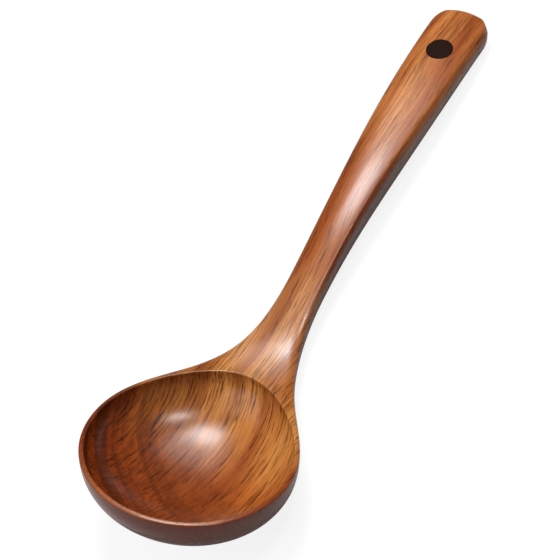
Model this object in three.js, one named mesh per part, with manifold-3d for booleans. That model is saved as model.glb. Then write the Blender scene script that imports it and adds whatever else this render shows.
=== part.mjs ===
// A wooden soup spoon of the ladle kind: an egg-shaped bowl, a flared neck and a rising handle carved from one
// plank, with a round dark-wood dowel glued into a drilled hole near the end of the handle.
// Lengths are in millimetres. The spoon is shaped in its carving frame, with the bowl's rim level at height 0, its
// widest place at x = 0 and the handle towards +X, and is then tipped back onto the table that it rests on.

import * as THREE from 'three';
import { LoftGeometry } from 'three/addons/geometries/LoftGeometry.js';
import { mergeVertices } from 'three/addons/utils/BufferGeometryUtils.js';
import Module from 'manifold-3d';

const { lerp, smoothstep } = THREE.MathUtils;

// Driving dimensions of the outline seen from above
const BOWL_HALF_WIDTH = 42.5;
const BOWL_FRONT_REACH = 40;
const HANDLE_REACH = 225;
const NECK_X = 88;
const NECK_HALF_WIDTH = 8;
const END_HALF_WIDTH = 13.6;
const END_CORNER = 11;
const END_CORNER_POWER = 2.3;
const FLARE_NECK_PULL = 51;
const GRIP_PULLS = [48, 69];

// Driving dimensions of the side view: the rim dips a little between toe and neck, then the handle sweeps up
const RIM_DIP = 1.1;
const RIM_DIP_REACH = 40;
const SWEEP_X = 33.5;
const END_HEIGHT = 71;
const END_SLOPE = 0.21;
const SWEEP_PULLS = [48, 136];

// Driving dimensions of the cross sections: crown above and hull below the widest line of each section
const LIP_CROWN = 1.75;
const NECK_CROWN = 3.3;
const END_CROWN = 4.6;
const LIP_POWER = 5;
const NECK_POWER = 2.5;
const END_POWER = 2.9;
const HULL_POWER = 2.4;
const UNDERSIDE_POWER = 3.5;
const BOWL_DEPTH = 26;
const RUN_OUT_POWER = 1.5;
const NECK_THICKNESS = 12;
const GRIP_THICKNESS = 16;
const END_THICKNESS = 12;
const GRIP_X = 140;
const END_ROUNDING = 4;

// The hollow: an egg-shaped half ellipsoid, a little narrower towards the neck
const LIP_WIDTH = 2;
const HOLLOW_BACK_REACH = 42.5;
const HOLLOW_DEPTH = 20;
const HOLLOW_TAPER = 0.2;
const HOLLOW_CLEARANCE = 12;

// The dowel, and the two spots sanded flat where the spoon meets the table
const DOWEL_X = 198.5;
const DOWEL_HOLE_RADIUS = 5.8;
const GLUE_GAP = 0.3;
const FLAT_DEPTH = 0.35;

// How finely the surfaces are divided
const SECTION_POINTS = 48;
const TOE_STEPS = 12;
const LENGTH_STEPS = 44;
const END_STEPS = 8;
const HOLLOW_RINGS = 14;
const HOLLOW_SIDES = 56;
const DOWEL_SIDES = 48;

const DEGREE = Math.PI / 180;
const TIP_ANGLE = 2 * DEGREE;
const Y_AXIS = new THREE.Vector3(0, 1, 0);

function curve(...points) {
  return new THREE.CubicBezierCurve(...points.map(([x, y]) => new THREE.Vector2(x, y)));
}

// Height of a curve that runs steadily towards +X, at one place along it
function curveHeight(line, x) {
  let low = 0;
  let high = 1;
  while (high - low > 1e-7) {
    const middle = (low + high) / 2;
    if (line.getPoint(middle).x < x) low = middle;
    else high = middle;
  }
  return line.getPoint(low).y;
}

// The flare leaves the bowl's widest place with the same curvature as the round front
const FLARE_BOWL_PULL = BOWL_FRONT_REACH * Math.sqrt((2 / 3) * (1 - NECK_HALF_WIDTH / BOWL_HALF_WIDTH));
const FLARE_LINE = curve(
  [0, BOWL_HALF_WIDTH],
  [FLARE_BOWL_PULL, BOWL_HALF_WIDTH],
  [NECK_X - FLARE_NECK_PULL, NECK_HALF_WIDTH],
  [NECK_X, NECK_HALF_WIDTH],
);
const GRIP_LINE = curve(
  [NECK_X, NECK_HALF_WIDTH],
  [NECK_X + GRIP_PULLS[0], NECK_HALF_WIDTH],
  [HANDLE_REACH - GRIP_PULLS[1], END_HALF_WIDTH],
  [HANDLE_REACH, END_HALF_WIDTH],
);
const SWEEP_LINE = curve(
  [SWEEP_X, 0],
  [SWEEP_X + SWEEP_PULLS[0], 0],
  [HANDLE_REACH - SWEEP_PULLS[1], END_HEIGHT - END_SLOPE * SWEEP_PULLS[1]],
  [HANDLE_REACH, END_HEIGHT],
);

// A quarter round that falls from 1 to 0: power 2 makes it a circle, a higher power makes it squarer
function quarterRound(share, power) {
  return (1 - THREE.MathUtils.clamp(share, 0, 1) ** power) ** (1 / power);
}

// Half the outline's width, with the corners of the handle's end rounded off
function halfWidth(x) {
  if (x < 0) return BOWL_HALF_WIDTH * quarterRound(-x / BOWL_FRONT_REACH, 2);
  if (x < NECK_X) return curveHeight(FLARE_LINE, x);
  const corner = (x - HANDLE_REACH + END_CORNER) / END_CORNER;
  return curveHeight(GRIP_LINE, x) * quarterRound(corner, END_CORNER_POWER);
}

// Height of the middle of the top face: the rim, then the neck and the handle
function crestHeight(x) {
  const dip = RIM_DIP * (x / RIM_DIP_REACH) ** 2 * (1 - smoothstep(x, 20, 60));
  return x < SWEEP_X ? dip : dip + curveHeight(SWEEP_LINE, x);
}

function endRounding(x) {
  return quarterRound((x - HANDLE_REACH + END_ROUNDING) / END_ROUNDING, 2);
}

function crown(x) {
  const neck = lerp(LIP_CROWN, NECK_CROWN, smoothstep(x, 10, 60));
  return lerp(neck, END_CROWN, smoothstep(x, 100, 180));
}

function crownPower(x) {
  const neck = lerp(LIP_POWER, NECK_POWER, smoothstep(x, 20, 70));
  return lerp(neck, END_POWER, smoothstep(x, 100, 190));
}

function hullPower(x) {
  return lerp(HULL_POWER, UNDERSIDE_POWER, smoothstep(x, 20, 80));
}

function handleThickness(x) {
  const grip = lerp(NECK_THICKNESS, GRIP_THICKNESS, smoothstep(x, 70, GRIP_X));
  return lerp(grip, END_THICKNESS, smoothstep(x, GRIP_X, HANDLE_REACH));
}

// Depth of the bowl's round front below its widest line
function frontDepth(x, y) {
  return BOWL_DEPTH * quarterRound(Math.hypot(x / BOWL_FRONT_REACH, y / BOWL_HALF_WIDTH), HULL_POWER);
}

// Depth of the underside below the widest line: behind the bowl it runs out along with the outline's flare
function hullDepth(x) {
  if (x < 0) return frontDepth(x, 0);
  const handle = handleThickness(x) - crown(x);
  if (x > NECK_X) return handle;
  const flare = (halfWidth(x) - NECK_HALF_WIDTH) / (BOWL_HALF_WIDTH - NECK_HALF_WIDTH);
  return lerp(handle, BOWL_DEPTH, flare ** RUN_OUT_POWER);
}

function keelHeight(x) {
  return crestHeight(x) - crown(x) - hullDepth(x) * endRounding(x);
}

// One cross section of the uncut blank: a flatter crown over a rounder hull
function section(x) {
  const points = [];
  for (let i = 0; i < SECTION_POINTS; i++) {
    const angle = (i / SECTION_POINTS) * 2 * Math.PI;
    const across = Math.cos(angle);
    const up = Math.sin(angle);
    const power = 2 / (up > 0 ? crownPower(x) : hullPower(x));
    const y = halfWidth(x) * Math.sign(across) * Math.abs(across) ** power;
    const bend = Math.abs(up) ** power * endRounding(x);
    const below = x < 0 ? frontDepth(x, y) : hullDepth(x) * bend;
    const z = crestHeight(x) - crown(x) + (up > 0 ? crown(x) * bend : -below);
    points.push(new THREE.Vector3(x, y, z));
  }
  return points;
}

// Places of the cross sections, closer together towards the rounded toe and end
function stations() {
  const places = [];
  for (let i = 0; i < TOE_STEPS; i++) {
    places.push(-BOWL_FRONT_REACH * Math.cos(lerp(TIP_ANGLE, 90 * DEGREE, i / TOE_STEPS)));
  }
  const straight = HANDLE_REACH - END_CORNER;
  for (let i = 0; i < LENGTH_STEPS; i++) places.push((straight * i) / LENGTH_STEPS);
  for (let i = 0; i <= END_STEPS; i++) {
    places.push(straight + END_CORNER * Math.sin(lerp(0, 90 * DEGREE - TIP_ANGLE, i / END_STEPS)));
  }
  return places;
}

const wasm = await Module();
wasm.setup();

function solid(geometry) {
  const bare = new THREE.BufferGeometry();
  bare.setIndex(geometry.index);
  bare.setAttribute('position', geometry.attributes.position);
  const merged = mergeVertices(bare, 1e-5);
  const triVerts = new Uint32Array(merged.index.array);
  const vertProperties = new Float32Array(merged.attributes.position.array);
  return new wasm.Manifold(new wasm.Mesh({ numProp: 3, vertProperties, triVerts }));
}

function uncutBlank() {
  return solid(new LoftGeometry(stations().map(section), { capStart: true, capEnd: true }));
}

// The tool that hollows the bowl: a half ball with straight walls above the rim, drawn out to the egg's outline
function hollowCutter() {
  const profile = [];
  for (let i = 0; i <= HOLLOW_RINGS; i++) {
    const angle = (i / HOLLOW_RINGS) * 90 * DEGREE;
    profile.push(new THREE.Vector2(Math.sin(angle), -HOLLOW_DEPTH * Math.cos(angle)));
  }
  profile.push(new THREE.Vector2(1, HOLLOW_CLEARANCE), new THREE.Vector2(0, HOLLOW_CLEARANCE));
  const ball = new THREE.LatheGeometry(profile, HOLLOW_SIDES).rotateX(90 * DEGREE);
  const front = BOWL_FRONT_REACH - LIP_WIDTH;
  const half = BOWL_HALF_WIDTH - LIP_WIDTH;
  return solid(ball).warp((point) => {
    const [along, across] = point;
    const radius = Math.hypot(along, across) || 1;
    const narrowing = 1 - HOLLOW_TAPER * Math.max(0, along / radius) ** 2;
    point[0] = along * (along < 0 ? front : HOLLOW_BACK_REACH);
    point[1] = across * half * narrowing;
  });
}

// A round bar square to the handle's top face, centred on that face and long enough to pass through the handle
function dowelBar(radius) {
  const step = 2;
  const rise = crestHeight(DOWEL_X + step) - crestHeight(DOWEL_X - step);
  const slope = Math.atan2(rise, 2 * step);
  const bar = new THREE.CylinderGeometry(radius, radius, 3 * GRIP_THICKNESS, DOWEL_SIDES);
  return solid(bar.rotateX(90 * DEGREE).rotateY(-slope).translate(DOWEL_X, 0, crestHeight(DOWEL_X)));
}

function lowestAfterTipping(tip, from, to) {
  const places = stations().filter((x) => x >= from && x <= to);
  return Math.min(...places.map((x) => keelHeight(x) * Math.cos(tip) - x * Math.sin(tip)));
}

// How far the spoon tips back until the bowl and the heel of the handle lie on one table
function restingTip() {
  let low = 0;
  let high = 45 * DEGREE;
  while (high - low > 1e-6) {
    const tip = (low + high) / 2;
    const bowl = lowestAfterTipping(tip, -BOWL_FRONT_REACH, NECK_X);
    const heel = lowestAfterTipping(tip, NECK_X, HANDLE_REACH);
    if (bowl < heel) low = tip;
    else high = tip;
  }
  return low;
}

function piece(name, shape, material) {
  const { numProp, vertProperties, triVerts } = shape.getMesh();
  const geometry = new THREE.BufferGeometry();
  const positions = new THREE.InterleavedBuffer(new Float32Array(vertProperties), numProp);
  geometry.setAttribute('position', new THREE.InterleavedBufferAttribute(positions, 3, 0));
  geometry.setIndex(new THREE.BufferAttribute(new Uint32Array(triVerts), 1));
  geometry.computeVertexNormals();
  const mesh = new THREE.Mesh(geometry, material);
  mesh.name = name;
  return mesh;
}

const tip = restingTip();
const tableHeight = lowestAfterTipping(tip, -BOWL_FRONT_REACH, HANDLE_REACH) + FLAT_DEPTH;
const tableNormal = new THREE.Vector3(0, 0, 1).applyAxisAngle(Y_AXIS, -tip);

const blank = uncutBlank();
const carved = blank
  .subtract(hollowCutter())
  .subtract(dowelBar(DOWEL_HOLE_RADIUS))
  .trimByPlane(tableNormal.toArray(), tableHeight);
const dowel = blank.intersect(dowelBar(DOWEL_HOLE_RADIUS - GLUE_GAP));

const lacqueredWood = new THREE.MeshStandardMaterial({ color: '#a05c30', roughness: 0.35, metalness: 0 });
const darkWood = new THREE.MeshStandardMaterial({ color: '#2e1a12', roughness: 0.4, metalness: 0 });

// Stand the carved spoon on the table, with the origin under the middle of its box
const tipped = new THREE.Group();
tipped.rotation.y = tip;
tipped.add(piece('carved_spoon', carved, lacqueredWood));
tipped.add(piece('inlay_dowel', dowel, darkWood));

const spoon = new THREE.Group();
spoon.add(tipped);
spoon.updateMatrixWorld(true);
const middle = new THREE.Box3().setFromObject(spoon, true).getCenter(new THREE.Vector3());
tipped.position.set(-middle.x, 0, -tableHeight);

export default spoon;
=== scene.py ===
import math

import bpy
from mathutils import Matrix, Vector


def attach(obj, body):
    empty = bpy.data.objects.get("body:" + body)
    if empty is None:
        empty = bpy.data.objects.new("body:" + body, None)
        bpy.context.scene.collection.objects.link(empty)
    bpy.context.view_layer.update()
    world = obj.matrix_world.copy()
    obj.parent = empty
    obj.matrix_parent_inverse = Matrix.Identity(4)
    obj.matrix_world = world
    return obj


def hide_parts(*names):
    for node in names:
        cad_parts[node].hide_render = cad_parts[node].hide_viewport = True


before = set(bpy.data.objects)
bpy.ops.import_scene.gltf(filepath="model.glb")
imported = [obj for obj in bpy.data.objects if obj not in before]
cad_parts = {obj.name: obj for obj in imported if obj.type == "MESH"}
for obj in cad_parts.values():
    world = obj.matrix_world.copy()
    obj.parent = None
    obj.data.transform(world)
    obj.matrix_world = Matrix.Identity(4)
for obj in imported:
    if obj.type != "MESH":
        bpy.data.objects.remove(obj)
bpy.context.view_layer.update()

# Carved spoon
# The whole ladle, bowl, neck and handle, carved from one plank of reddish brown hardwood, sanded,
# stained and lacquered. Its long axis is the plank's, so the grain runs from the handle into the bowl.

MM = 0.001

# Millimetres with the rim level: x runs from the bowl's widest line to the handle's end, z up from the rim.
SPOON_SIZES = {
    "bowl_half_width": 42.5,
    "bowl_front": 40.0,
    "bowl_depth": 26.0,
    "lip": 2.0,
    "lip_rounding": 0.55,
    "toe_lift": 1.1,
    "hollow_back": 42.5,
    "hollow_depth": 20.0,
    "hollow_taper": 0.2,
    "neck_at": 88.0,
    "neck_half_width": 8.0,
    "neck_ease": 51.0,
    "grip_ease": 48.0,
    "end_ease": 69.0,
    "end_at": 225.0,
    "end_half_width": 13.6,
    "end_corner": 11.0,
    "end_rounding": 4.0,
    "sweep_from": 33.5,
    "sweep_ease": 48.0,
    "sweep_rise": 71.0,
    "sweep_end_run": 136.0,
    "sweep_end_slope": 0.21,
    "dowel_at": 198.5,
    "bar_radius": 5.8,
    "rest_flat": 0.35,
    "rest_tip": math.radians(22.28),
}

# Three values along the spoon, then the two stretches of x over which they change: how far the top's middle
# stands above its edges, the power of that rounding, and the thickness of neck and handle.
CROWN = ((1.75, 3.3, 4.6), (10.0, 60.0), (100.0, 180.0))
CROWN_POWER = ((5.0, 2.5, 2.9), (20.0, 70.0), (100.0, 190.0))
THICKNESS = ((12.0, 16.0, 12.0), (70.0, 140.0), (140.0, 225.0))

# Powers of the rounding below the edges, 2 being an ellipse, and where the bowl's changes to the handle's.
BOWL_POWER = 2.4
HANDLE_POWER = 3.5
POWER_CHANGES = (20.0, 80.0)

END_CORNER_POWER = 2.3
RUN_OUT_POWER = 1.5
TOE_LIFT_ENDS = (20.0, 60.0)

# The handle's top face falls a little towards a crease near each edge, and steeply beyond it.
FACE_FALL = 0.4
SHOULDER_DROP = 2.84
SHOULDER_POWER = 0.7
CREASE_SOFTNESS = 0.1
CREASE_STARTS = 60.0
CREASE_FULL = 105.0

# Steps of the surface: along the front and back of the bowl, along the handle, and across each strip.
FRONT_STEPS = 49
BACK_STEPS = 57
HANDLE_STEPS = 161
HOLLOW_STEPS = 41
ROUNDING_STEPS = 6
TOP_STEPS = 37
HULL_STEPS = 37
END_CROWDING = 1.8
GUIDE_STEPS = 300
GUIDE_ROOM = 200.0
BAR_SIDES = 96
BAR_LENGTH = 50.0
HAIR = 0.001
WELD = 0.004
SHARP_FOLD = math.radians(50)


def feed(tree, socket, value):
    """Links a socket to a field or another socket, or writes a plain value on it."""
    if isinstance(value, Field):
        tree.links.new(value.socket, socket)
    elif isinstance(value, bpy.types.NodeSocket):
        tree.links.new(value, socket)
    else:
        socket.default_value = value


def add_node(tree, kind, inputs=None, **settings):
    """A new node with its settings and inputs filled in."""
    made = tree.nodes.new(kind)
    for name, value in settings.items():
        setattr(made, name, value)
    for key, value in (inputs or {}).items():
        feed(tree, made.inputs[key], value)
    return made


class Field:
    """A number in a node tree, so that a shape's formula reads as plain arithmetic."""

    def __init__(self, socket):
        self.socket = socket

    @property
    def tree(self):
        return self.socket.id_data

    def __add__(self, other):
        return calculate("ADD", self, other)

    def __radd__(self, other):
        return calculate("ADD", other, self)

    def __sub__(self, other):
        return calculate("SUBTRACT", self, other)

    def __rsub__(self, other):
        return calculate("SUBTRACT", other, self)

    def __mul__(self, other):
        return calculate("MULTIPLY", self, other)

    def __rmul__(self, other):
        return calculate("MULTIPLY", other, self)

    def __truediv__(self, other):
        return calculate("DIVIDE", self, other)

    def __rtruediv__(self, other):
        return calculate("DIVIDE", other, self)

    def __pow__(self, other):
        return calculate("POWER", self, other)

    def __neg__(self):
        return calculate("MULTIPLY", self, -1.0)


def calculate(operation, *values):
    """The result of one Math node."""
    tree = next(value.tree for value in values if isinstance(value, Field))
    inputs = dict(enumerate(values))
    return Field(add_node(tree, "ShaderNodeMath", inputs, operation=operation).outputs[0])


def eased(x, start, end, low, high):
    """Goes smoothly from low to high while x goes from start to end."""
    inputs = {"Value": x, "From Min": start, "From Max": end, "To Min": low, "To Max": high}
    return Field(add_node(x.tree, "ShaderNodeMapRange", inputs, interpolation_type="SMOOTHSTEP").outputs[0])


def in_three_steps(x, values, first_change, second_change):
    """Goes smoothly from the first value to the second and on to the third."""
    first, second, third = values
    return eased(x, *second_change, eased(x, *first_change, first, second), third)


def limited(x, low, high):
    return calculate("MINIMUM", calculate("MAXIMUM", x, low), high)


def sine(angle):
    return calculate("SINE", angle)


def cosine(angle):
    return calculate("COSINE", angle)


def root(value):
    return calculate("SQRT", calculate("MAXIMUM", value, 0.0))


def vector(tree, x, y, z):
    return add_node(tree, "ShaderNodeCombineXYZ", {"X": x, "Y": y, "Z": z}).outputs[0]


def part_of(tree, place, axis):
    return Field(add_node(tree, "ShaderNodeSeparateXYZ", {"Vector": place}).outputs[axis])


class SpoonShape:
    """The formulas of the spoon's surface, as fields of one node tree."""

    def __init__(self, tree, sizes):
        self.tree = tree
        for name, field in sizes.items():
            setattr(self, name, field)
        position = add_node(tree, "GeometryNodeInputPosition").outputs[0]
        self.x, self.y, self.z = (part_of(tree, position, axis) for axis in "XYZ")
        # A patch starts as a flat square about the origin: along and across it, from 0 to 1.
        self.along = self.x + 0.5
        self.across = self.y + 0.5
        self.quarter = self.across * (math.pi / 2)
        self.draw_guides()

    def guide(self, start, start_pull, end_pull, end):
        """A drawn curve, x along and z up, widened into a strip that can be read at any x."""
        points = [vector(self.tree, x, 0.0, z) for x, z in (start, start_pull, end_pull, end)]
        names = ("Start", "Start Handle", "End Handle", "End")
        inputs = dict(zip(names, points), Resolution=GUIDE_STEPS)
        curve = add_node(self.tree, "GeometryNodeCurvePrimitiveBezierSegment", inputs)
        line = add_node(self.tree, "GeometryNodeCurveToMesh", {"Curve": curve.outputs[0]})
        inputs = {"Mesh": line.outputs[0], "Offset": vector(self.tree, 0.0, 1.0, 0.0)}
        return add_node(self.tree, "GeometryNodeExtrudeMesh", inputs, mode="EDGES").outputs[0]

    def draw_guides(self):
        """The plan's edge from the bowl's widest line to the handle's end, and the handle's rise."""
        # With this first pull the edge leaves the widest line as curved as the bowl's front half is there.
        shoulder = self.bowl_front * root((1.0 - self.neck_half_width / self.bowl_half_width) * 2.0 / 3.0)
        neck = (self.neck_at, self.neck_half_width)
        bowl_to_neck = self.guide(
            (0.0, self.bowl_half_width),
            (shoulder, self.bowl_half_width),
            (self.neck_at - self.neck_ease, self.neck_half_width),
            neck,
        )
        neck_to_end = self.guide(
            neck,
            (self.neck_at + self.grip_ease, self.neck_half_width),
            (self.end_at - self.end_ease, self.end_half_width),
            (self.end_at, self.end_half_width),
        )
        self.width_guide = joined(self.tree, [bowl_to_neck, neck_to_end])
        last_pull = self.sweep_rise - self.sweep_end_slope * self.sweep_end_run
        self.sweep_guide = self.guide(
            (self.sweep_from, 0.0),
            (self.sweep_from + self.sweep_ease, 0.0),
            (self.end_at - self.sweep_end_run, last_pull),
            (self.end_at, self.sweep_rise),
        )

    def read(self, guide, x):
        """The height of a guide at x, or 0 where it doesn't reach."""
        inputs = {
            "Target Geometry": guide,
            "Source Position": vector(self.tree, x, 0.5, -GUIDE_ROOM),
            "Ray Direction": (0.0, 0.0, 1.0),
            "Ray Length": 2 * GUIDE_ROOM,
        }
        ray = add_node(self.tree, "GeometryNodeRaycast", inputs)
        return part_of(self.tree, ray.outputs["Hit Position"], "Z")

    def half_width(self, x):
        """From the middle to the plan's edge, behind the bowl's widest line."""
        inside = limited(x, HAIR, self.end_at - HAIR)
        into_corner = limited((x - self.end_at + self.end_corner) / self.end_corner, 0.0, 1.0)
        rounding = (1.0 - into_corner ** END_CORNER_POWER) ** (1.0 / END_CORNER_POWER)
        return self.read(self.width_guide, inside) * rounding

    def crest(self, x):
        """The height of the top's middle line."""
        share = x / self.bowl_front
        lift = self.toe_lift * share * share * eased(x, *TOE_LIFT_ENDS, 1.0, 0.0)
        return lift + self.read(self.sweep_guide, calculate("MINIMUM", x, self.end_at - HAIR))

    def edge_height(self, x):
        return self.crest(x) - in_three_steps(x, *CROWN)

    def hull_depth(self, x, width):
        """How far the keel lies below the edges, from the bowl's widest line to the handle's end."""
        below_edge = in_three_steps(x, *THICKNESS) - in_three_steps(x, *CROWN)
        before_neck = calculate("LESS_THAN", x, self.neck_at)
        spare = calculate("MAXIMUM", width - self.neck_half_width, 0.0) * before_neck
        share = (spare / (self.bowl_half_width - self.neck_half_width)) ** RUN_OUT_POWER
        return below_edge + (self.bowl_depth - below_edge) * share

    def end_fall(self, x):
        """Top and keel close in on the edge line over the handle's last few millimetres."""
        into_end = limited((x - self.end_at + self.end_rounding) / self.end_rounding, 0.0, 1.0)
        return root(1.0 - into_end * into_end)

    def patch(self, columns, rows, place):
        """A grid bent to the places that a formula gives."""
        inputs = {"Size X": 1.0, "Size Y": 1.0, "Vertices X": columns, "Vertices Y": rows}
        grid = add_node(self.tree, "GeometryNodeMeshGrid", inputs)
        inputs = {"Geometry": grid.outputs[0], "Position": vector(self.tree, *place)}
        return add_node(self.tree, "GeometryNodeSetPosition", inputs).outputs[0]

    def hollow_edge(self, front, cos, sin):
        """The plan of the hollow's edge, and the direction straight out of it."""
        reach = self.bowl_front - self.lip if front else self.hollow_back
        half = self.bowl_half_width - self.lip
        taper = self.hollow_taper * (0.0 if front else 1.0)
        x, y = reach * cos, half * sin * (1.0 - taper * cos * cos)
        out_x, out_y = half * cos * (1.0 - taper * cos * cos + 2.0 * taper * sin * sin), reach * sin
        out_length = root(out_x * out_x + out_y * out_y)
        return x, y, out_x / out_length, out_y / out_length

    def outer_edge(self, front, cos, sin, x, y):
        """The bowl's edge beside a place on its lip, and how far out that place is, 1 being on the edge."""
        if front:
            share = root((x / self.bowl_front) ** 2.0 + (y / self.bowl_half_width) ** 2.0)
            return self.bowl_front * cos, self.bowl_half_width * sin, share
        width = self.half_width(x)
        return x, width, y / width

    def bowl_patches(self, front):
        """Half of the bowl's front or back: the hollow, its rounded edge, the lip's top and the outside."""
        start, end = (math.pi, math.pi / 2) if front else (math.pi / 2, 0.0)
        bearing = start + (end - start) * self.along
        cos, sin = cosine(bearing), sine(bearing)
        hollow_x, hollow_y, out_x, out_y = self.hollow_edge(front, cos, sin)
        land_x, land_y = hollow_x + out_x * self.lip_rounding, hollow_y + out_y * self.lip_rounding
        edge_x, edge_y, inner = self.outer_edge(front, cos, sin, land_x, land_y)
        power = in_three_steps(land_x, *CROWN_POWER)
        crown = in_three_steps(land_x, *CROWN)
        inner_angle = calculate("ARCCOSINE", inner ** (power / 2.0))
        rim = self.edge_height(land_x) + crown * sine(inner_angle) ** (2.0 / power)

        up, over = sine(self.quarter), cosine(self.quarter)
        wall_top = rim - self.lip_rounding
        hollow = (hollow_x * up, hollow_y * up, wall_top - (self.hollow_depth + wall_top) * over)

        outward = self.lip_rounding * (1.0 - over)
        rounding_top = wall_top + self.lip_rounding * up
        rounding = (hollow_x + out_x * outward, hollow_y + out_y * outward, rounding_top)

        turn = inner_angle * (1.0 - self.across)
        share = (cosine(turn) ** (2.0 / power) - inner) / (1.0 - inner)
        lip_x, lip_y = land_x + (edge_x - land_x) * share, land_y + (edge_y - land_y) * share
        lip = (lip_x, lip_y, self.edge_height(lip_x) + crown * sine(turn) ** (2.0 / power))

        outside = self.front_hull(edge_x, edge_y) if front else self.underside(edge_x, edge_y)
        steps = FRONT_STEPS if front else BACK_STEPS
        return [
            self.patch(steps, HOLLOW_STEPS, hollow),
            self.patch(steps, ROUNDING_STEPS, rounding),
            self.patch(steps, TOP_STEPS, lip),
            self.patch(steps, HULL_STEPS, outside),
        ]

    def front_hull(self, edge_x, edge_y):
        """From the edge of the bowl's front half round to the keel."""
        inward = cosine(self.quarter) ** (2.0 / BOWL_POWER)
        down = sine(self.quarter) ** (2.0 / BOWL_POWER)
        return edge_x * inward, edge_y * inward, self.edge_height(edge_x * inward) - self.bowl_depth * down

    def underside(self, x, width):
        """From the edge round to the keel, squarer under the handle than under the bowl."""
        power = 2.0 / eased(x, *POWER_CHANGES, BOWL_POWER, HANDLE_POWER)
        depth = self.hull_depth(x, width) * self.end_fall(x)
        across = width * cosine(self.quarter) ** power
        return x, across, self.edge_height(x) - depth * sine(self.quarter) ** power

    def handle_patches(self):
        """Half of the neck and handle: the top and the underside."""
        start = self.hollow_back + self.lip_rounding
        x = self.end_at - (self.end_at - start) * (1.0 - self.along) ** END_CROWDING
        width = self.half_width(x)
        power = in_three_steps(x, *CROWN_POWER)
        share = sine(self.quarter) ** (2.0 / power)
        soft = cosine(self.quarter) ** (2.0 / power)
        shoulder = 1.0 - SHOULDER_DROP * (1.0 - share) ** SHOULDER_POWER
        creased = 1.0 - calculate("SMOOTH_MAX", FACE_FALL * share * share, shoulder, CREASE_SOFTNESS)
        rise = soft + (creased - soft) * eased(x, CREASE_STARTS, CREASE_FULL, 0.0, 1.0)
        height = self.edge_height(x) + in_three_steps(x, *CROWN) * self.end_fall(x) * rise
        top = self.patch(HANDLE_STEPS, TOP_STEPS, (x, width * share, height))
        return [top, self.patch(HANDLE_STEPS, HULL_STEPS, self.underside(x, width))]

    def blank(self):
        """The closed spoon before its dowel hole is drilled."""
        patches = [*self.bowl_patches(True), *self.bowl_patches(False), *self.handle_patches()]
        half = welded(self.tree, patches)
        other = add_node(self.tree, "GeometryNodeTransform", {"Geometry": half, "Scale": (1.0, -1.0, 1.0)})
        other = add_node(self.tree, "GeometryNodeFlipFaces", {"Mesh": other.outputs[0]})
        return welded(self.tree, [half, other.outputs[0]])

    def bar(self):
        """A round bar through the handle, square to its top."""
        x = self.dowel_at
        slope = (self.crest(x + 1.0) - self.crest(x - 1.0)) / 2.0
        inputs = {"Vertices": BAR_SIDES, "Radius": self.bar_radius, "Depth": BAR_LENGTH}
        bar = add_node(self.tree, "GeometryNodeMeshCylinder", inputs)
        inputs = {
            "Geometry": bar.outputs[0],
            "Translation": vector(self.tree, x, 0.0, self.crest(x)),
            "Rotation": turned_about_y(self.tree, -calculate("ARCTANGENT", slope)),
        }
        return add_node(self.tree, "GeometryNodeTransform", inputs).outputs[0]

    def at_rest(self, mesh, blank):
        """Tips a mesh back until bowl and handle end both touch the table, sands the two spots flat
        and puts the middle of the spoon's box over the origin, in metres."""
        turn = turned_about_y(self.tree, self.rest_tip)
        tipped = add_node(self.tree, "GeometryNodeTransform", {"Geometry": mesh, "Rotation": turn})
        whole = add_node(self.tree, "GeometryNodeTransform", {"Geometry": blank, "Rotation": turn})
        box = add_node(self.tree, "GeometryNodeBoundBox", {"Geometry": whole.outputs[0]})
        low, high = box.outputs["Min"], box.outputs["Max"]
        middle = (part_of(self.tree, low, "X") + part_of(self.tree, high, "X")) / 2.0
        height = self.z - part_of(self.tree, low, "Z") - self.rest_flat
        place = ((self.x - middle) * MM, self.y * MM, calculate("MAXIMUM", height, 0.0) * MM)
        inputs = {"Geometry": tipped.outputs[0], "Position": vector(self.tree, *place)}
        return add_node(self.tree, "GeometryNodeSetPosition", inputs).outputs[0]


def joined(tree, meshes):
    together = add_node(tree, "GeometryNodeJoinGeometry")
    for mesh in meshes:
        tree.links.new(mesh, together.inputs[0])
    return together.outputs[0]


def welded(tree, meshes):
    inputs = {"Geometry": joined(tree, meshes), "Distance": WELD}
    return add_node(tree, "GeometryNodeMergeByDistance", inputs).outputs[0]


def turned_about_y(tree, angle):
    return add_node(tree, "FunctionNodeEulerToRotation", {0: vector(tree, 0.0, angle, 0.0)}).outputs[0]


def drilled_or_plug(tree, blank, bar, plug):
    """The blank with the bar's hole drilled in it or, with plug on, the piece of bar that fills the hole."""
    drilled = add_node(tree, "GeometryNodeMeshBoolean", operation="DIFFERENCE", solver="MANIFOLD")
    tree.links.new(blank, drilled.inputs["Mesh 1"])
    tree.links.new(bar, drilled.inputs["Mesh 2"])
    filling = add_node(tree, "GeometryNodeMeshBoolean", operation="INTERSECT", solver="MANIFOLD")
    tree.links.new(blank, filling.inputs["Mesh 2"])
    tree.links.new(bar, filling.inputs["Mesh 2"])
    inputs = {"Switch": plug, "False": drilled.outputs["Mesh"], "True": filling.outputs["Mesh"]}
    return add_node(tree, "GeometryNodeSwitch", inputs, input_type="GEOMETRY").outputs[0]


def smoothed(tree, mesh):
    """Smooth shading that stops at sharp edges."""
    smooth = add_node(tree, "GeometryNodeSetShadeSmooth", {"Geometry": mesh})
    fold = Field(add_node(tree, "GeometryNodeInputMeshEdgeAngle").outputs[0])
    sharp = calculate("GREATER_THAN", fold, SHARP_FOLD)
    inputs = {"Geometry": smooth.outputs[0], "Selection": sharp, "Shade Smooth": False}
    return add_node(tree, "GeometryNodeSetShadeSmooth", inputs, domain="EDGE").outputs[0]


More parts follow.
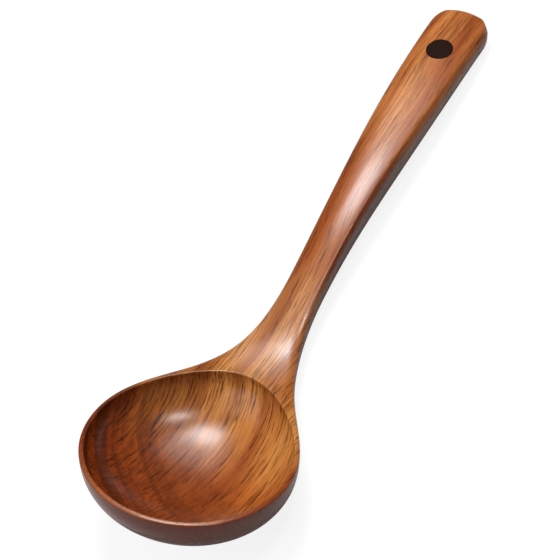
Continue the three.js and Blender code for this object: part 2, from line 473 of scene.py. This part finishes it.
def spoon_tree():
    """A node tree that makes the drilled spoon or, with the plug input on, the dowel that fills the hole."""
    tree = bpy.data.node_groups.new("carved spoon and dowel", "GeometryNodeTree")
    for size in SPOON_SIZES:
        tree.interface.new_socket(size, in_out="INPUT", socket_type="NodeSocketFloat")
    tree.interface.new_socket("plug", in_out="INPUT", socket_type="NodeSocketBool")
    tree.interface.new_socket("finish", in_out="INPUT", socket_type="NodeSocketMaterial")
    tree.interface.new_socket("mesh", in_out="OUTPUT", socket_type="NodeSocketGeometry")
    given = tree.nodes.new("NodeGroupInput").outputs
    shape = SpoonShape(tree, {size: Field(given[size]) for size in SPOON_SIZES})
    blank = shape.blank()
    chosen = drilled_or_plug(tree, blank, shape.bar(), given["plug"])
    shaded = smoothed(tree, shape.at_rest(chosen, blank))
    plain = add_node(tree, "GeometryNodeRealizeInstances", {"Geometry": shaded})
    inputs = {"Geometry": plain.outputs[0], "Material": given["finish"]}
    finished = add_node(tree, "GeometryNodeSetMaterial", inputs)
    tree.links.new(finished.outputs[0], tree.nodes.new("NodeGroupOutput").inputs["mesh"])
    return tree


def made_by_nodes(name, tree, values):
    """A plain mesh object with the shape that a node tree gives for these values."""
    piece = bpy.data.objects.new(name, bpy.data.meshes.new(name))
    bpy.context.scene.collection.objects.link(piece)
    modifier = piece.modifiers.new("shape", "NODES")
    modifier.node_group = tree
    for socket in tree.interface.items_tree:
        if socket.in_out == "INPUT":
            modifier[socket.identifier] = values[socket.name]
    evaluated = piece.evaluated_get(bpy.context.evaluated_depsgraph_get())
    piece.data = bpy.data.meshes.new_from_object(evaluated)
    piece.modifiers.clear()
    piece.data.materials.clear()
    piece.data.materials.append(values["finish"])
    return piece


# The bare wood's colour in the bowl and on the handle, as written on a paint chart.
BOWL_WOOD = "E09A4E"
HANDLE_WOOD = "E09450"

# Every stain, marking, painted shade and painted sheen in the order in which they lie on the wood: its
# colour, and how strongly it covers.
STAINS = {
    "front": ("B86428", 1.0),
    # The neck's pale pinkish band is painted sheen: the neck's broad reflection painted into its colour.
    "neck": ("D29E7C", 0.4),
    "waist": ("A4521F", 0.8),
    "tone": ("9E4E1E", 1.0),
    "heart": ("8A3510", 1.0),
    # Darker handle edges: partly stain gathered there, partly painted shade on the shoulders and at the
    # crease.
    "edges": ("6A2810", 1.0),
    "layers": ("863810", 1.0),
    "rings": ("421607", 0.8),
    "flecks": ("3E1407", 0.6),
    "threads": ("84400F", 0.35),
    "streaks": ("6C330F", 0.7),
    # The bowl's outside: a darker stain, with painted shade on the outer wall, which faces away from the
    # lamps.
    "outside": ("862C0C", 0.5),
    "lip": ("C67C44", 1.0),
    "pores": ("3C180A", 0.8),
}

# Every marking: how often it changes in a metre along the fibres, through the growth layers and up them, its
# detail and seed, and the values of its noise at which it starts to show and shows fully.
MARKINGS = {
    "tone": ((6.0, 50.0, 20.0), 2.0, 1.7, (0.4, 0.62)),
    "layers": ((7.0, 220.0, 18.0), 3.0, 4.1, (0.46, 0.66)),
    "streaks": ((42.0, 1200.0, 120.0), 2.0, 8.3, (0.53, 0.64)),
    "threads": ((55.0, 1900.0, 140.0), 2.0, 2.9, (0.45, 0.65)),
    "pores": ((150.0, 2400.0, 300.0), 1.0, 6.6, (0.54, 0.62)),
    "flecks": ((160.0, 700.0, 400.0), 2.0, 3.3, (0.48, 0.62)),
    "rings": ((8.0, 170.0, 0.0), 2.0, 5.2, (0.46, 0.58)),
}
PORES_NEAR_STREAKS = (0.4, 0.56)
PIT_SHARE = 0.8

# The plank is sawn so that its growth layers stand nearly upright along the spoon. The fibres sway a little.
LAYER_LEAN = 0.144
SWAY_SCALE = 16.0
SWAY = (0.0, 0.006, 0.0)

# The darker heartwood begins in the bowl, up and to the left as seen from the toe, with a border and rings
# that wander.
HEART_DIRECTION = (-0.35, 0.486, 0.874)
HEART_SHOWS = (0.030, 0.080)
HEART_WANDER = 0.02
RING_WANDER = 0.008

# Stretches of the resting spoon, in metres from the middle of its length, over which its looks change.
FRONT_ENDS = (-0.106, -0.075)
OUTSIDE_ENDS = (-0.11, -0.045)
LIP_ENDS = (-0.07, -0.056)
BOLD_ENDS = (-0.065, -0.03)
BARE_CHANGES = (-0.06, 0.0)
NECK_SHEEN_STARTS = (-0.06, -0.045)
NECK_SHEEN_ENDS = (-0.025, 0.015)
EDGES_START = (-0.05, -0.01)
LAYERS_GROW = (-0.03, 0.02)
WAIST_STARTS = (-0.03, 0.01)
WAIST_ENDS = (0.035, 0.08)
HANDLE_WIDENS = (0.0, 0.11)

# The rim's plane is tipped up at the toe: directions square to it and along it, and the bowl's middle on it.
RIM_TIP = SPOON_SIZES["rest_tip"]
RIM_UP = (math.sin(RIM_TIP), 0.0, math.cos(RIM_TIP))
RIM_BACK = (math.cos(RIM_TIP), 0.0, -math.sin(RIM_TIP))
RIM_UP_OFFSET = 0.0094
RIM_BACK_OFFSET = 0.1009

# In metres, from the spoon's sizes: the hollow, the toe's lift, and the handle's half width at neck and end.
HOLLOW_FRONT = (SPOON_SIZES["bowl_front"] - SPOON_SIZES["lip"]) * MM
HOLLOW_BACK = SPOON_SIZES["hollow_back"] * MM
HOLLOW_HALF_WIDTH = (SPOON_SIZES["bowl_half_width"] - SPOON_SIZES["lip"]) * MM
HOLLOW_DEPTH = SPOON_SIZES["hollow_depth"] * MM
TOE_REACH = SPOON_SIZES["bowl_front"] * MM
TOE_LIFT = SPOON_SIZES["toe_lift"] * MM
HANDLE_HALF_WIDTHS = (SPOON_SIZES["neck_half_width"] * MM, SPOON_SIZES["end_half_width"] * MM)

# Where the outside begins, as a share of the hollow squared, how far below the rim the paler lip reaches,
# and how it weakens away from the toe.
OUTSIDE_BEGINS = (1.04, 1.1)
LIP_BOTTOM = -0.0008
LIP_FULL = -0.0002
LIP_FURTHER_OUTSIDE = 0.0006
LIP_FADES_FROM_TOE = (-0.036, -0.018)
LIP_STRENGTHS = (0.65, 0.1)

# Strengths of the grain in the bowl and on the handle, then of the stain and painted shade on the handle's
# edges, and how much of the grain the outside's stain and painted shade hide.
BOLDNESS = (1.0, 0.7)
LAYER_STRENGTHS = (0.35, 0.65)
EDGE_BEGINS = 0.6
EDGE_STAIN_AND_SHADE = 0.45
EDGE_STAIN_AND_SHADE_AT_WAIST = 0.4
OUTSIDE_HIDES_STREAKS = 0.5
OUTSIDE_HIDES_RINGS = 0.6


def linear(hex_colour):
    """A colour written as on a paint chart, such as B87333, as the shader's own values."""
    channels = (int(hex_colour[i:i + 2], 16) / 255 for i in (0, 2, 4))
    return (*(c / 12.92 if c <= 0.04045 else ((c + 0.055) / 1.055) ** 2.4 for c in channels), 1.0)


def mixed(tree, share, first, second):
    inputs = {0: share, 6: first, 7: second}
    return add_node(tree, "ShaderNodeMix", inputs, data_type="RGBA").outputs[2]


def stretch(value, low, high):
    """0 up to low and 1 from high on, with an even climb between."""
    inputs = {"Value": value, "From Min": low, "From Max": high}
    return Field(add_node(value.tree, "ShaderNodeMapRange", inputs).outputs[0])


def distance_along(tree, place, direction):
    """How far a place lies from the origin in a direction."""
    inputs = {0: place, 1: direction}
    return Field(add_node(tree, "ShaderNodeVectorMath", inputs, operation="DOT_PRODUCT").outputs["Value"])


def along_fibres(tree, place):
    """A place turned as the growth layers lean, with the fibres' sway."""
    inputs = {"Vector": place, "Rotation": (LAYER_LEAN, 0.0, 0.0)}
    leaning = add_node(tree, "ShaderNodeMapping", inputs).outputs[0]
    inputs = {"Vector": leaning, "Scale": SWAY_SCALE, "Detail": 1.0}
    noise = add_node(tree, "ShaderNodeTexNoise", inputs).outputs[1]
    inputs = {0: noise, 1: (0.5, 0.5, 0.5)}
    swing = add_node(tree, "ShaderNodeVectorMath", inputs, operation="SUBTRACT").outputs[0]
    inputs = {0: swing, 1: SWAY, 2: leaning}
    return add_node(tree, "ShaderNodeVectorMath", inputs, operation="MULTIPLY_ADD").outputs[0]


def grain_noise(tree, place, name):
    """A marking's noise, drawn out along the grain."""
    frequencies, detail, seed, _ = MARKINGS[name]
    inputs = {0: place, 1: frequencies}
    stretched = add_node(tree, "ShaderNodeVectorMath", inputs, operation="MULTIPLY").outputs[0]
    inputs = {"Vector": stretched, "W": seed, "Scale": 1.0, "Detail": detail, "Roughness": 0.6}
    return Field(add_node(tree, "ShaderNodeTexNoise", inputs, noise_dimensions="4D").outputs[0])


class SpoonWood:
    """The places and noises that the spoon's stains, markings, painted shade and painted sheen are drawn
    from.
    """

    def __init__(self, tree):
        place = add_node(tree, "ShaderNodeTexCoord").outputs["Object"]
        self.along = part_of(tree, place, "X")
        self.aside = part_of(tree, place, "Y")
        self.back = distance_along(tree, place, RIM_BACK) + RIM_BACK_OFFSET
        self.height = distance_along(tree, place, RIM_UP) + RIM_UP_OFFSET
        fibres = along_fibres(tree, place)
        self.noise = {name: grain_noise(tree, fibres, name) for name in MARKINGS if name != "rings"}
        wander = self.noise["tone"] - 0.5
        toward_heart = distance_along(tree, place, HEART_DIRECTION)
        self.heart = stretch(toward_heart + HEART_WANDER * wander, *HEART_SHOWS)
        across_heart = vector(tree, self.along, toward_heart + RING_WANDER * wander, 0.0)
        self.noise["rings"] = grain_noise(tree, across_heart, "rings")
        # Where the outside's stain and painted shade lie.
        self.outside = self.outer_wall() * eased(self.along, *OUTSIDE_ENDS, 1.0, 0.0)

    def outer_wall(self):
        """1 on the outside of the bowl and 0 in its hollow, which is about an ellipsoid."""
        lengthwise = calculate("MAXIMUM", self.back / HOLLOW_BACK, self.back / -HOLLOW_FRONT)
        crosswise = self.aside / HOLLOW_HALF_WIDTH
        deep = self.height / HOLLOW_DEPTH
        squared = lengthwise * lengthwise + crosswise * crosswise + deep * deep
        return stretch(squared, *OUTSIDE_BEGINS)

    def paler_lip(self):
        """The bowl's lip, paler than the wood around it, most of all at the toe."""
        toward_toe = self.back / TOE_REACH
        above_rim = self.height - TOE_LIFT * toward_toe * toward_toe
        lip = stretch(above_rim, LIP_BOTTOM - LIP_FURTHER_OUTSIDE * self.outside, LIP_FULL)
        strength = eased(self.back, *LIP_FADES_FROM_TOE, *LIP_STRENGTHS)
        return lip * eased(self.along, *LIP_ENDS, 1.0, 0.0) * strength

    def handle_edge_stain_and_shade(self, waist):
        """The handle's two edges, darker from stain that gathers there and from painted shade on the
        shoulders and at the crease, most of all at the waist.
        """
        half_width = eased(self.along, *HANDLE_WIDENS, *HANDLE_HALF_WIDTHS)
        edge = stretch(calculate("ABSOLUTE", self.aside) / half_width, EDGE_BEGINS, 1.0)
        strength = EDGE_STAIN_AND_SHADE + EDGE_STAIN_AND_SHADE_AT_WAIST * waist
        return edge * eased(self.along, *EDGES_START, 0.0, 1.0) * strength

    def shares(self):
        """How much of every stain, marking, painted shade and painted sheen shows at a place."""
        along = self.along
        shown = {name: stretch(self.noise[name], *ends) for name, (*_, ends) in MARKINGS.items()}
        waist = eased(along, *WAIST_STARTS, 0.0, 1.0) * eased(along, *WAIST_ENDS, 1.0, 0.0)
        bold = eased(along, *BOLD_ENDS, *BOLDNESS) * (1.0 - OUTSIDE_HIDES_STREAKS * self.outside)
        heart_marks = self.heart * (1.0 - OUTSIDE_HIDES_RINGS * self.outside)
        return {
            "front": eased(along, *FRONT_ENDS, 1.0, 0.0),
            # Painted sheen along the neck.
            "neck": eased(along, *NECK_SHEEN_STARTS, 0.0, 1.0) * eased(along, *NECK_SHEEN_ENDS, 1.0, 0.0),
            "waist": waist,
            "tone": shown["tone"],
            "heart": self.heart,
            # Stain and painted shade on the handle's edges.
            "edges": self.handle_edge_stain_and_shade(waist),
            "layers": shown["layers"] * eased(along, *LAYERS_GROW, *LAYER_STRENGTHS),
            "rings": shown["rings"] * heart_marks,
            "flecks": shown["flecks"] * heart_marks,
            "threads": shown["threads"],
            "streaks": shown["streaks"] * bold,
            # Stain and painted shade on the bowl's outside.
            "outside": self.outside,
            "lip": self.paler_lip(),
            "pores": shown["pores"] * stretch(self.noise["streaks"], *PORES_NEAR_STREAKS) * bold,
        }


def lacquered_wood():
    """Stained hardwood under clear lacquer: growth layers, darker heartwood, fine streaks and dark pores,
    with painted shade on the handle's edges and the bowl's outside and painted sheen on the neck.
    """
    material = bpy.data.materials.new("stained_lacquered_wood")
    material.use_nodes = True
    tree = material.node_tree
    shader = tree.nodes["Principled BSDF"]
    spoon_wood = SpoonWood(tree)
    handle = eased(spoon_wood.along, *BARE_CHANGES, 0.0, 1.0)
    wood = mixed(tree, handle, linear(BOWL_WOOD), linear(HANDLE_WOOD))
    shares = spoon_wood.shares()
    for name, (colour, strength) in STAINS.items():
        wood = mixed(tree, shares[name] * strength, wood, linear(colour))
    tree.links.new(wood, shader.inputs["Base Color"])

    shader.inputs["Roughness"].default_value = 0.45
    shader.inputs["Specular IOR Level"].default_value = 0.0
    shader.inputs["Coat Weight"].default_value = 0.9
    shader.inputs["Coat Roughness"].default_value = 0.235
    shader.inputs["Coat IOR"].default_value = 1.46
    # The pores are shallow pits too.
    height = 1.0 - PIT_SHARE * shares["pores"]
    bump = add_node(tree, "ShaderNodeBump", {"Strength": 0.1, "Distance": 0.0001, "Height": height})
    tree.links.new(bump.outputs[0], shader.inputs["Normal"])
    return material


carving = spoon_tree()
carved_spoon = made_by_nodes(
    "carved_spoon_surface", carving, {**SPOON_SIZES, "plug": False, "finish": lacquered_wood()}
)
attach(carved_spoon, "root")
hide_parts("carved_spoon")


# Inlay dowel
# A round peg of dark wood near the handle's end, glued into a hole and sanded flush with the handle.
# It comes from the same node tree as the spoon, a little thinner than its hole, as a piece of a round bar.

DOWEL_RADIUS = 5.65
DOWEL_WOOD = "22100A"


def dark_wood():
    material = bpy.data.materials.new("dark_peg_wood")
    material.use_nodes = True
    shader = material.node_tree.nodes["Principled BSDF"]
    shader.inputs["Base Color"].default_value = linear(DOWEL_WOOD)
    shader.inputs["Roughness"].default_value = 0.5
    shader.inputs["Specular IOR Level"].default_value = 0.05
    return material


inlay_dowel = made_by_nodes(
    "inlay_dowel_face",
    carving,
    {**SPOON_SIZES, "bar_radius": DOWEL_RADIUS, "plug": True, "finish": dark_wood()},
)
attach(inlay_dowel, "root")
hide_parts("inlay_dowel")


# Studio
# A plain pale floor and a white surround, under four soft lamps: a strong one above the handle, a wider and
# dimmer one beyond it, a broad and dim one above the toe, and a small one overhead.

FLOOR_HALF = 3.0
WHITE = (1.0, 1.0, 1.0, 1.0)

# The floor's own colour in the picture, and its glow near the spoon and far off, over these distances.
FLOOR_GREY = (0.22, 0.22, 0.22, 1.0)
FLOOR_GLOW = (0.86, 1.0)
GLOW_GROWS = (0.25, 0.8)

# The floor as a mirror shows it and as a light, and the room above the horizon, which is dim as both.
FLOOR_MIRRORED = 0.8
FLOOR_AS_LIGHT = 0.18
ROOM = 0.08
HORIZON = (-0.1, 0.0)


def rays(tree):
    """Two fields: 1 for rays that show the surroundings in the picture, and 1 for those that show them in or
    through a piece."""
    path = add_node(tree, "ShaderNodeLightPath").outputs
    mirrored = calculate("MAXIMUM", Field(path["Is Glossy Ray"]), Field(path["Is Transmission Ray"]))
    return Field(path["Is Camera Ray"]), mirrored


def pale_floor():
    """A floor that looks white and keeps the spoon's shadow, but throws little light up at the spoon."""
    material = bpy.data.materials.new("pale_floor")
    material.use_nodes = True
    tree = material.node_tree
    tree.nodes.clear()
    in_picture, mirrored = rays(tree)
    shaded = add_node(tree, "ShaderNodeBsdfDiffuse", {"Color": FLOOR_GREY}).outputs[0]
    place = add_node(tree, "ShaderNodeTexCoord").outputs["Object"]
    distance = Field(add_node(tree, "ShaderNodeVectorMath", {0: place}, operation="LENGTH").outputs["Value"])
    inputs = {"Color": WHITE, "Strength": eased(distance, *GLOW_GROWS, *FLOOR_GLOW)}
    glow = add_node(tree, "ShaderNodeEmission", inputs).outputs[0]
    shown = add_node(tree, "ShaderNodeAddShader", {0: shaded, 1: glow}).outputs[0]
    grey = FLOOR_AS_LIGHT + (FLOOR_MIRRORED - FLOOR_AS_LIGHT) * mirrored
    lighting = add_node(tree, "ShaderNodeBsdfDiffuse", {"Color": grey}).outputs[0]
    both = add_node(tree, "ShaderNodeMixShader", {0: in_picture, 1: lighting, 2: shown}).outputs[0]
    add_node(tree, "ShaderNodeOutputMaterial", {"Surface": both})
    return material


floor_mesh = bpy.data.meshes.new("studio_floor")
corners = [(x * FLOOR_HALF, y * FLOOR_HALF, 0.0) for x, y in ((-1, -1), (1, -1), (1, 1), (-1, 1))]
floor_mesh.from_pydata(corners, [], [(0, 1, 2, 3)])
floor_mesh.materials.append(pale_floor())
floor = bpy.data.objects.new("studio_floor", floor_mesh)
bpy.context.scene.collection.objects.link(floor)

world = bpy.data.worlds.new("studio")
bpy.context.scene.world = world
world.use_nodes = True
backdrop = world.node_tree.nodes["Background"]
backdrop.inputs["Color"].default_value = WHITE
# White in the picture. In reflections it is white below the horizon, as the floor is, and dim above it.
look = add_node(world.node_tree, "ShaderNodeTexCoord").outputs["Generated"]
reflected = eased(part_of(world.node_tree, look, "Z"), *HORIZON, 1.0, ROOM)
in_picture, mirrored = rays(world.node_tree)
unseen = ROOM + (reflected - ROOM) * mirrored
feed(world.node_tree, backdrop.inputs["Strength"], unseen + (1.0 - unseen) * in_picture)


def softbox(name, direction, distance, size, watts):
    """A rectangular lamp that faces the spoon from a direction."""
    lamp = bpy.data.lights.new(name, "AREA")
    lamp.shape = "RECTANGLE"
    lamp.size, lamp.size_y = size
    lamp.energy = watts
    holder = bpy.data.objects.new(name, lamp)
    back = Vector(direction).normalized()
    side = back.cross(Vector((1.0, 0.0, 0.0))).normalized()
    turn = Matrix((side.cross(back), side, back)).transposed().to_4x4()
    holder.matrix_world = Matrix.Translation(back * distance) @ turn
    bpy.context.scene.collection.objects.link(holder)


softbox("overhead_softbox", direction=(0.37, 0.21, 0.9), distance=1.1, size=(0.22, 0.36), watts=6.6)
softbox("front_softbox", direction=(-0.42, 0.4, 0.8), distance=2.0, size=(1.8, 1.8), watts=16.0)
softbox("back_softbox", direction=(0.55, 0.27, 0.78), distance=1.3, size=(0.4, 0.72), watts=3.2)
softbox("small_softbox", direction=(0.19, -0.21, 0.96), distance=1.1, size=(0.12, 0.12), watts=2.1)


# Camera
# It stands where the photo was taken from, above the toe and to one side, with a long lens. Its place and
# directions were fitted together with the spoon's shape.

LENS = 117.74
SENSOR_WIDTH = 36
CAMERA_PLACE = (-0.2783, -0.2883, 0.6314)
CAMERA_RIGHT = (0.4725, -0.8557, -0.2110)
CAMERA_UP = (0.8046, 0.3211, 0.4994)
CAMERA_BACKWARD = (-0.3596, -0.4058, 0.8403)

camera_data = bpy.data.cameras.new("photo_view")
camera_data.lens = LENS
camera_data.sensor_width = SENSOR_WIDTH
camera = bpy.data.objects.new("photo_view", camera_data)
rotation = Matrix((CAMERA_RIGHT, CAMERA_UP, CAMERA_BACKWARD)).transposed().to_4x4()
camera.matrix_world = Matrix.Translation(Vector(CAMERA_PLACE)) @ rotation
bpy.context.scene.collection.objects.link(camera)
bpy.context.scene.camera = camera
bpy.context.scene.view_settings.view_transform = "Standard"
